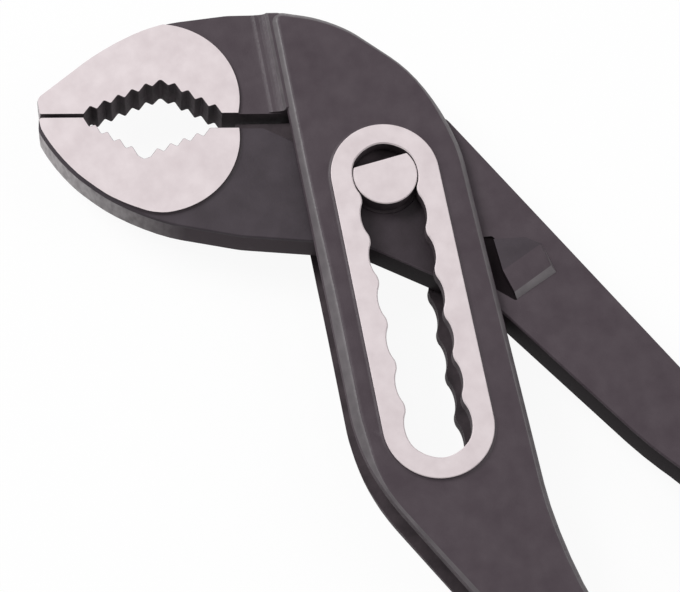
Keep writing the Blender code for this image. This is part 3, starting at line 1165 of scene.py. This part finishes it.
        # The wall that faces the gap between the jaws is painted black as shade.
        for face in bm.faces:
            if face.normal.x > SIDE_NORMAL:
                face.material_index = Finish.BLACK
        jaw = Blank("upper_jaw", bm)
        foot = [Corner(self.ground_centre.x + self.ground_radius, -2 * FAR)]
        lowered = jaw_file(
            self.ground_centre, self.ground_radius, self.joint.filed_half, self.pad_fillet, foot
        )
        jaw.combine(Operation.CUT, lowered)
        jaw.combine(Operation.JOIN, self.make_ramp())
        return jaw

    def brow_outline(self) -> list[Corner]:
        """Draws the part of the jaw that the ramp stands on.

        Returns:
            The jaw's outline from the brow on, with small radii.
        """
        brow = self.jaw_outline()[4:]
        corners = [at(corner.place, min(corner.radius, self.brow_radius)) for corner in brow]
        return [*corners, at(self.faces.upper(self.faces.length - self.ramp_root, 0.0))]

    def make_ramp(self) -> Blank:
        """Makes the ramp that climbs from the jaw to the cheeks on both faces.

        Returns:
            The ramp as a solid through the leg.
        """
        low = self.joint.leg_half
        high = self.joint.cheek_half - self.ramp_drop
        start = -self.joint.cheek_half_width - self.ramp_length
        # The ramp's sides are painted black as shade.
        thick = [Step(0.1, high - 0.5, Finish.BLACK), Step(0.4, 0.5)]
        outline = shrink(draw_outline(self.brow_outline()), self.ramp_inset)
        ramp = Blank("ramp", raise_rim(outline, thick, Finish.FORGED))
        above = [
            Corner(-2 * FAR, low - 0.3),
            Corner(start - 0.4, low - 0.3),
            Corner(start, low - 0.05),
            Corner(start + 0.85, low + 0.41, 0.3),
            Corner(start + 1.5, low + 0.45, 1.0),
            Corner(start + 2.2, low + 0.6, 1.5),
            Corner(start + 2.75, low + 0.9, 0.5),
            Corner(start + 3.25, high - 0.1),
            Corner(start + 9.5, high + 0.4),
            Corner(start + 9.5, FAR),
            Corner(-2 * FAR, FAR),
        ]
        cutter = extrude_up(draw_outline(above), 2 * FAR)
        across = Matrix(((0, 0, 1, -FAR), (1, 0, 0, 0), (0, 1, 0, 0), (0, 0, 0, 1)))
        bmesh.ops.transform(cutter, matrix=across, verts=cutter.verts)
        # The ramp's steep faces take the lighter rim tone as painted highlight.
        filed = both_faces("ramp_cutter", cutter, 0.0, Finish.FORGED, Finish.WEAR_AND_HIGHLIGHT, self.ramp_slope)
        ramp.combine(Operation.CUT, filed)
        return ramp

    def window_outline(self) -> list[Corner]:
        """Draws the room between the cheeks that the sliding leg sweeps.

        Returns:
            The corners of the room.
        """
        swung = self.joint.edge_deg + self.joint.swing
        away = polar(self.joint.edge_offset + self.window_clear, swung + 90.0)
        run = polar(1.0, swung)
        half = self.joint.cheek_half_width
        ceiling = self.faces.upper(self.faces.length, 0.0).x - 0.3
        meet = away + run * ((ceiling - away.x) / run.x)
        far = meet + run * 4.0 * half
        return [
            Corner(ceiling, -half - 2.0),
            at(meet, 2.0),
            at(far),
            Corner(self.window_floor, far.y),
            Corner(self.window_floor, -3.0 * half),
            Corner(ceiling + 2.0, -3.0 * half),
        ]

    def build(self) -> bpy.types.Object:
        """Forges the leg.

        Returns:
            The finished piece, in millimetres.
        """
        leg = self.make_box()
        leg.combine(Operation.JOIN, self.make_boss(), self.make_jaw())
        # The inside of the box is painted black as shade.
        inside = [Step(SHEER, self.joint.gap_half, Finish.BLACK)]
        window = raise_rim(draw_outline(self.window_outline()), inside, Finish.BLACK)
        slot = broach("slot", self.joint.slot(), self.joint.middle, self.slot_edge, Finish.GROUND)
        notch = self.joint.notch(self.faces.upper_notch())
        leg.combine(Operation.CUT, Blank("window", window), slot, notch)
        return leg.obj


@dataclass
class SlidingLeg:
    """The leg with the lower jaw, the hub that carries the pin, the stop and a handle."""

    joint: Joint
    faces: JawFaces
    ground_centre: Vector = field(default_factory=lambda: Vector((-14.7, -38.3)))
    ground_radius: float = 14.65
    pad_fillet: float = 0.9
    length: float = 84.0
    heel_offset: float = 9.1
    hub_wall: float = 7.0
    hub_sink: float = 0.06
    hub_rounding: float = 6.0
    bore_clear: float = 0.1
    stop_rise: float = 1.0
    stop_fall: float = 0.2
    # Tilts that pick painted shade and painted highlight on the stop's faces.
    shaded_tilt: float = -0.02
    highlight_tilt: float = 0.2
    groove_depth: float = 0.5

    def edge_point(self, along: float, depth: float) -> Vector:
        """A point along the leg's top edge from beside the pin, and into the leg."""
        heading = self.joint.edge_deg
        return polar(self.joint.edge_offset - depth, heading + 90.0) + polar(along, heading)

    @property
    def handle(self) -> Handle:
        """The handle of this leg."""
        bend = self.edge_point(self.length, Handle.half_width)
        return Handle(bend=bend, shank=51.6, shank_deg=12.8, tail_deg=3.2)

    def outline(self) -> list[Corner]:
        """Draws the whole leg.

        Returns:
            The jaw's tip, face and hub, the top edge, the handle and the lower edge back.
        """
        tip = self.faces.lower(0.0, 0.0)
        heel = self.faces.lower(self.faces.length - self.heel_offset, 0.0)
        barrel = self.joint.barrel_radius
        return [
            at(tip, 0.6),
            at(heel, 1.0),
            Corner(heel.x + 6.6, heel.y + 10.4, 4.0),
            Corner(-barrel - self.hub_wall, -1.0, 5.0),
            at(self.edge_point(-2.9, -0.35), 4.0),
            *self.handle.corners(),
            at(self.edge_point(66.0, 14.3), 60.0),
            at(self.edge_point(28.25, 17.35), 30.0),
            Corner(barrel + 5.25, -5.8, 13.0),
            Corner(barrel + 0.2, -self.joint.cheek_half_width - 12.45, 15.5),
            Corner(tip.x + 21.5, tip.y + 13.4, 35.0),
            Corner(tip.x + 8.6, tip.y + 1.45, 27.5),
            Corner(tip.x + 2.2, tip.y - 0.47, 2.2),
        ]

    def edge_share(self, place: Vector) -> float:
        """How round the leg's edge is: crisp along the jaw's face, in full below it.

        Args:
            place: A point of the outline.

        Returns:
            The share of the full rounding.
        """
        into = self.faces.lower(0.0, 1.0) - self.faces.lower(0.0, 0.0)
        below = (place.xy - self.faces.lower(0.0, 0.0)).dot(into)
        return 0.15 + 0.85 * smooth_step(0.3, 2.5, below)

    def make_stop(self) -> Blank:
        """Makes the stop: a long rise from the hub, a flat back and a short slope to the handle, with
        painted shade and highlight by slope.

        Returns:
            The stop as a solid through the leg.
        """
        low = self.joint.leg_half
        ridge = low + self.stop_rise
        back = ridge - self.stop_fall
        rise = [(14.0, 17.0, low), (14.5, 22.6, low), (16.3, 25.3, low)]
        roof = [(20.4, 17.2, ridge), (16.8, 24.4, ridge), (24.6, 18.4, back), (20.8, 25.8, back)]
        foot = [(25.7, 18.7, low), (21.9, 26.6, low)]
        downhill = Vector((0.88, 0.47, 0.0))
        bm = bmesh.new()
        for x, y, z in (*rise, *roof, *foot):
            bm.verts.new((x, y, z))
            bm.verts.new((x, y, -z))
        bmesh.ops.convex_hull(bm, input=bm.verts)
        turn_outwards(bm)
        # Colour by facing: the walls take the flank's black as painted shadow, faces tilted uphill get
        # painted shade, faces tilted downhill a painted highlight.
        for face in bm.faces:
            tilt = face.normal.dot(downhill)
            if abs(face.normal.z) < WALL_NORMAL:
                face.material_index = Finish.FLANK
            elif tilt < self.shaded_tilt:
                face.material_index = Finish.SHADED
            else:
                face.material_index = Finish.WEAR_AND_HIGHLIGHT if tilt > self.highlight_tilt else Finish.FORGED
        return Blank("stop", bm)

    def stop_groove(self) -> Blank:
        """Makes the cutter of the groove between the stop and the box, which the flank's black fills as
        painted shadow.

        Returns:
            The cutter above and below the leg.
        """
        edge = self.joint.cheek_half_width + 0.2
        outline = [
            Corner(13.2, edge, 0.4),
            Corner(22.5, edge, 0.4),
            Corner(26.0, 18.5, 0.4),
            Corner(25.0, 19.4),
            Corner(14.6, 17.6),
            Corner(13.4, 16.9, 0.4),
        ]
        bm = extrude_up(draw_outline(outline), 2.0)
        level = self.joint.leg_half - self.groove_depth
        return both_faces("groove", bm, level, Finish.FLANK, Finish.FLANK)

    def make_throat_shade_web(self) -> Blank:
        """Makes a thin black web that closes the throat between the jaw and the hub, a dark sheet put
        there as painted shade.

        Returns:
            The web.
        """
        heel = self.faces.lower(self.faces.length - self.heel_offset, 0.5)
        barrel = -self.joint.barrel_radius
        outline = [
            at(heel),
            Corner(barrel - self.hub_wall - 1.2, -self.joint.cheek_half_width + 1.0),
            Corner(barrel - 2.0, -3.0),
            Corner(heel.x + 9.0, heel.y + 3.0),
        ]
        web = [Step(0.05, 1.6, Finish.BLACK), Step(0.2, 0.2, Finish.BLACK)]
        return Blank("throat", raise_rim(draw_outline(outline), web, Finish.BLACK))

    def painted_shade_hub(self) -> Blank:
        """Makes the shallow cutter that gives the face between the cheeks its painted shade.

        Returns:
            The cutter above and below the leg.
        """
        half = self.joint.cheek_half_width - 0.5
        end = half + 10.2
        outline = [
            Corner(-half, -half, half),
            Corner(end, -half, self.hub_rounding),
            Corner(end, half, self.hub_rounding),
            Corner(-half, half, half),
        ]
        bm = extrude_up(draw_outline(outline), 1.0)
        level = self.joint.leg_half - self.hub_sink
        return both_faces("hub_face", bm, level, Finish.PAINTED_SHADE, Finish.PAINTED_SHADE)

    def build(self) -> bpy.types.Object:
        """Forges the leg.

        Returns:
            The finished piece, in millimetres.
        """
        low = self.joint.leg_half
        rim = [
            # The sides take the flank finish, black as painted shade from the joint on.
            Step(0.04, low - 0.45, Finish.FLANK),
            Step(0.1, 0.22),
            Step(0.14, 0.15),
            Step(0.16, 0.08),
            Step(0.1, self.joint.ground_half - low),
        ]
        bm = raise_rim(draw_outline(self.outline()), rim, Finish.GROUND, self.edge_share)
        leg = Blank("sliding_leg_forging", bm)
        edge = self.ground_centre.x + self.ground_radius
        foot = [
            Corner(edge - 0.15, -40.6, 9.0),
            Corner(edge - 2.85, -45.4, 20.0),
            Corner(edge - 5.15, -48.6),
        ]
        lowered = jaw_file(
            self.ground_centre, self.ground_radius, self.joint.filed_half, self.pad_fillet, foot
        )
        leg.combine(Operation.CUT, lowered, self.stop_groove())
        radius = self.joint.barrel_radius + self.bore_clear
        circle = rounded_box((-radius, -radius), (radius, radius), radius)
        through = [Step(SHEER, FAR, Finish.BLACK)]
        bore = Blank("bore", raise_rim(draw_outline(circle), through, Finish.BLACK))
        notch = self.joint.notch(self.faces.lower_notch())
        leg.combine(Operation.CUT, bore, notch, self.painted_shade_hub())
        # The jaw's half of the sliding leg takes the darker copy of the forging as painted shade.
        for face in leg.obj.data.polygons:
            if face.material_index == Finish.FORGED and face.center.y < 0.0:
                face.material_index = Finish.SHADED
        leg.combine(Operation.JOIN, self.make_stop(), self.make_throat_shade_web())
        return leg.obj


# The pin and the sleeves


@dataclass
class JointPin:
    """The riveted pin: a barrel in the sliding leg and a flatted end in each slot."""

    joint: Joint
    end_radius: float = 5.65
    end_rim: float = 0.16
    flat_offset: float = 2.7
    flat_turn: float = 7.7
    flat_floor: float = 0.15
    sides: int = 96
    sink: float = 0.05

    def build(self) -> bpy.types.Object:
        """Turns the pin and mills the flats of its ends.

        Returns:
            The finished piece, in millimetres.
        """
        top = self.joint.middle - self.sink
        barrel = self.joint.leg_half
        profile = [
            (0.0, top),
            (self.end_radius - self.end_rim, top),
            (self.end_radius, top - self.end_rim),
            (self.end_radius, barrel),
            (self.joint.barrel_radius, barrel - 0.1),
            (self.joint.barrel_radius, 0.0),
        ]
        bm = bmesh.new()
        line = [bm.verts.new((radius, 0.0, z)) for radius, z in profile]
        edges = [bm.edges.new(pair) for pair in zip(line, line[1:])]
        bmesh.ops.spin(
            bm,
            geom=line + edges,
            cent=(0, 0, 0),
            axis=(0, 0, 1),
            angle=2 * math.pi,
            steps=self.sides,
            use_merge=True,
        )
        bmesh.ops.remove_doubles(bm, verts=bm.verts, dist=WELD)
        mirror_solid(bm)
        # The ground end faces are bright; the sides are painted black as shadow.
        for face in bm.faces:
            height = abs(face.calc_center_median().z)
            bright = abs(face.normal.z) > END_NORMAL and height > barrel + self.flat_floor
            face.material_index = Finish.GROUND if bright else Finish.BLACK
        pin = Blank("joint_pin_rivet", bm)
        away = polar(1.0, 180.0 + self.flat_turn)
        along = Vector((-away.y, away.x))
        near = away * self.flat_offset
        far = away * FAR
        wide = along * FAR
        outline = [at(near - wide), at(far - wide), at(far + wide), at(near + wide)]
        cutter = extrude_up(draw_outline(outline), FAR)
        # The flats are painted black as the shade in the hollow above them.
        flats = both_faces("flats", cutter, barrel + self.flat_floor, Finish.BLACK, Finish.BLACK)
        pin.combine(Operation.CUT, flats)
        return pin.obj


@dataclass
class Sleeve:
    """A dipped vinyl sleeve over the end of a handle, open towards the joint."""

    name: str
    handle: Handle
    half_width: float = 8.6
    half_height: float = 6.7
    rounding: float = 4.6
    hollow: tuple[float, float] = (5.75, 3.75)
    stations: int = 44
    slack: float = 0.945
    lip_length: float = 5.0
    lip_swell: float = 0.06
    belly_swell: float = 0.05
    nose_length: float = 8.0
    nose_power: float = 2.4
    nose_least: float = 0.03
    overhang: float = 3.0
    floor: float = 4.0
    ring_inset: float = 0.01
    mouth_depth: float = 0.25
    mouth_flare: float = 1.06

    def swell(self, along: float, length: float) -> float:
        """How full the sleeve is, from a rolled lip to a round nose.

        Args:
            along: The distance from the mouth.
            length: The length of the sleeve.

        Returns:
            The share of the full section.
        """
        fullness = self.slack + self.belly_swell * smooth_step(0.0, length, along)
        if along < self.lip_length:
            fullness += self.lip_swell * math.sin(math.pi * along / self.lip_length) ** 2
        left = length - along
        if left < self.nose_length:
            share = 1.0 - left / self.nose_length
            fullness *= math.sqrt(max(1.0 - share**self.nose_power, self.nose_least))
        return fullness

    def build(self) -> bpy.types.Object:
        """Lofts the outside from mouth to nose and the inside back to near the nose.

        Returns:
            The finished piece, in millimetres.
        """
        wide = self.half_width
        high = self.half_height
        bm = draw_outline(rounded_box((-wide, -high), (wide, high), self.rounding))
        length = self.handle.grip_length + self.overhang
        turns = [math.pi * i / self.stations for i in range(self.stations + 1)]
        places = [length * (1.0 - math.cos(turn)) / 2 for turn in turns]
        swells = [(along, self.swell(along, length)) for along in reversed(places)]
        outside = [(along, fullness, fullness) for along, fullness in swells]
        inner = (self.hollow[0] / wide, self.hollow[1] / high)
        inside = [(along, *inner) for along in places if along < length - self.floor]
        inside[0] = (self.mouth_depth, inner[0] * self.mouth_flare, inner[1] * self.mouth_flare)
        rings = [*outside, *inside]
        bm.faces.ensure_lookup_table()
        face = bm.faces[0]
        shape = [vert.co.copy() for vert in face.verts]
        self.set_ring(list(face.verts), shape, rings[0])
        for ring in rings[1:]:
            bmesh.ops.inset_region(bm, faces=[face], thickness=self.ring_inset, use_boundary=True)
            self.set_ring(list(face.verts), shape, ring)
        bmesh.ops.edgeloop_fill(bm, edges=[edge for edge in bm.edges if edge.is_boundary])
        turn_outwards(bm)
        mesh = bpy.data.meshes.new(self.name)
        bm.to_mesh(mesh)
        bm.free()
        mesh.materials.append(VINYL[0])
        piece = bpy.data.objects.new(self.name, mesh)
        bpy.context.scene.collection.objects.link(piece)
        return piece

    def set_ring(
        self, verts: list[bmesh.types.BMVert], shape: list[Vector], ring: tuple[float, float, float]
    ) -> None:
        """Sets one ring of the loft across the handle.

        Args:
            verts: The ring's vertices in the order of the section.
            shape: The section's points.
            ring: The distance from the mouth, and the scale across and in height.
        """
        along, across, height = ring
        centre, heading = self.handle.station(along)
        sideways = polar(1.0, heading + 90.0)
        for vert, point in zip(verts, shape):
            flat = centre + sideways * point.x * across
            vert.co = (flat.x, flat.y, point.y * height)


# The studio


@dataclass
class Studio:
    """A pale floor, soft light from the left and a camera that looks down on the joint."""

    aim: tuple[float, float, float] = (0.01642, -0.01036, 0.0)
    distance: float = 0.4512
    azimuth: float = 159.27
    elevation: float = 68.93
    roll: float = 10.63
    lens: float = 134.1
    sensor: float = 36.0
    floor_drop: float = 0.0002
    floor_size: float = 3.0
    floor_glow: float = 0.93
    floor_colour: tuple[float, float, float, float] = (0.9, 0.9, 0.9, 1.0)
    world_strength: float = 0.3

    def show_white(
        self,
        tree: bpy.types.NodeTree,
        plain: bpy.types.NodeSocket,
        white: bpy.types.NodeSocket,
        glow: float,
    ) -> None:
        """Tells the rays that see the background from those that light the object.

        Args:
            tree: The node tree of the floor or the world.
            plain: What lights the object.
            white: What camera, glossy and transmission rays see.
            glow: How much of the white they see.
        """
        path = tree.nodes.new("ShaderNodeLightPath")
        total = path.outputs["Is Camera Ray"]
        for name in ("Is Glossy Ray", "Is Transmission Ray"):
            larger = tree.nodes.new("ShaderNodeMath")
            larger.operation = "MAXIMUM"
            tree.links.new(total, larger.inputs[0])
            tree.links.new(path.outputs[name], larger.inputs[1])
            total = larger.outputs["Value"]
        share = tree.nodes.new("ShaderNodeMath")
        share.operation = "MULTIPLY"
        share.inputs[1].default_value = glow
        mix = tree.nodes.new("ShaderNodeMixShader")
        tree.links.new(total, share.inputs[0])
        tree.links.new(share.outputs["Value"], mix.inputs["Fac"])
        tree.links.new(plain, mix.inputs[1])
        tree.links.new(white, mix.inputs[2])
        tree.links.new(mix.outputs["Shader"], tree.get_output_node("ALL").inputs["Surface"])

    def build_floor(self) -> None:
        """Lays the floor just below the pliers."""
        bm = bmesh.new()
        bmesh.ops.create_grid(bm, x_segments=2, y_segments=2, size=self.floor_size / 2)
        bmesh.ops.translate(bm, verts=bm.verts, vec=(0.0, 0.0, -self.floor_drop))
        mesh = bpy.data.meshes.new("floor")
        bm.to_mesh(mesh)
        bm.free()
        floor = bpy.data.objects.new("floor", mesh)
        bpy.context.scene.collection.objects.link(floor)
        made = bpy.data.materials.new("pale_floor")
        made.use_nodes = True
        tree = made.node_tree
        shader = tree.nodes["Principled BSDF"]
        shader.inputs["Base Color"].default_value = self.floor_colour
        shader.inputs["Roughness"].default_value = 0.9
        shader.inputs["Specular IOR Level"].default_value = 0.0
        white = tree.nodes.new("ShaderNodeEmission")
        white.inputs["Color"].default_value = WHITE
        self.show_white(tree, shader.outputs["BSDF"], white.outputs["Emission"], self.floor_glow)
        mesh.materials.append(made)

    def build_world(self) -> None:
        """Sets a white surrounding that lights the object evenly."""
        world = bpy.data.worlds.new("studio")
        world.use_nodes = True
        tree = world.node_tree
        plain = tree.nodes["Background"]
        seen = tree.nodes.new("ShaderNodeBackground")
        for node, strength in ((plain, self.world_strength), (seen, 1.0)):
            node.inputs["Color"].default_value = WHITE
            node.inputs["Strength"].default_value = strength
        self.show_white(tree, plain.outputs["Background"], seen.outputs["Background"], 1.0)
        bpy.context.scene.world = world

    def add_lamp(self, name: str, place: tuple[float, float, float], size: float, power: float) -> None:
        """Hangs a square lamp that faces the joint.

        Args:
            name: The lamp's name.
            place: Where it hangs, in metres.
            size: The length of its sides.
            power: Its power in watts.
        """
        light = bpy.data.lights.new(name, "AREA")
        light.shape = "SQUARE"
        light.size = size
        light.energy = power
        lamp = bpy.data.objects.new(name, light)
        lamp.location = place
        lamp.rotation_euler = (Vector(self.aim) - Vector(place)).to_track_quat("-Z", "Y").to_euler()
        bpy.context.scene.collection.objects.link(lamp)

    def build_camera(self) -> None:
        """Sets the camera at the photograph's angle."""
        heading = math.radians(self.azimuth)
        tilt = math.radians(self.elevation)
        level = math.cos(tilt)
        forward = Vector((math.cos(heading) * level, math.sin(heading) * level, -math.sin(tilt)))
        turn = forward.to_track_quat("-Z", "Y") @ Quaternion((0.0, 0.0, 1.0), math.radians(self.roll))
        optics = bpy.data.cameras.new("camera")
        optics.lens = self.lens
        optics.sensor_width = self.sensor
        optics.clip_start = 0.01
        camera = bpy.data.objects.new("camera", optics)
        camera.location = Vector(self.aim) - forward * self.distance
        camera.rotation_euler = turn.to_euler()
        bpy.context.scene.collection.objects.link(camera)
        bpy.context.scene.camera = camera

    def build(self) -> None:
        """Builds the floor, the light and the camera."""
        bpy.context.scene.view_settings.view_transform = "Standard"
        self.build_floor()
        self.build_world()
        self.add_lamp("key", (-0.84, -0.9, 1.0), size=0.8, power=23.0)
        self.add_lamp("fill", (0.1, 1.24, 0.84), size=1.0, power=8.0)
        self.build_camera()


def main() -> None:
    """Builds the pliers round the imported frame, then the studio."""
    logging.basicConfig(level=logging.INFO, format="%(name)s: %(message)s")
    for old in list(bpy.data.objects):
        bpy.data.objects.remove(old, do_unlink=True)
    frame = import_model()
    STEELS.extend(STEEL_FINISHES[slot].material() for slot in Finish)
    VINYL.append(SLEEVE_VINYL.material())
    joint = Joint.from_frame(frame)
    faces = JawFaces()
    slotted = SlottedLeg(joint, faces)
    sliding = SlidingLeg(joint, faces)
    middle = joint.middle * MM
    publish(slotted.build(), middle, "slotted_leg", "slotted_leg")
    publish(sliding.build(), middle, "sliding_leg", "sliding_leg")
    publish(JointPin(joint).build(), middle, "joint_pin", "joint_pin")
    for leg, body in ((slotted, "slotted_leg"), (sliding, "sliding_leg")):
        sleeve = Sleeve(f"{body}_sleeve", leg.handle)
        publish(sleeve.build(), middle, body, f"{body}_grip")
    Studio().build()


if __name__ == "__main__":
    main()
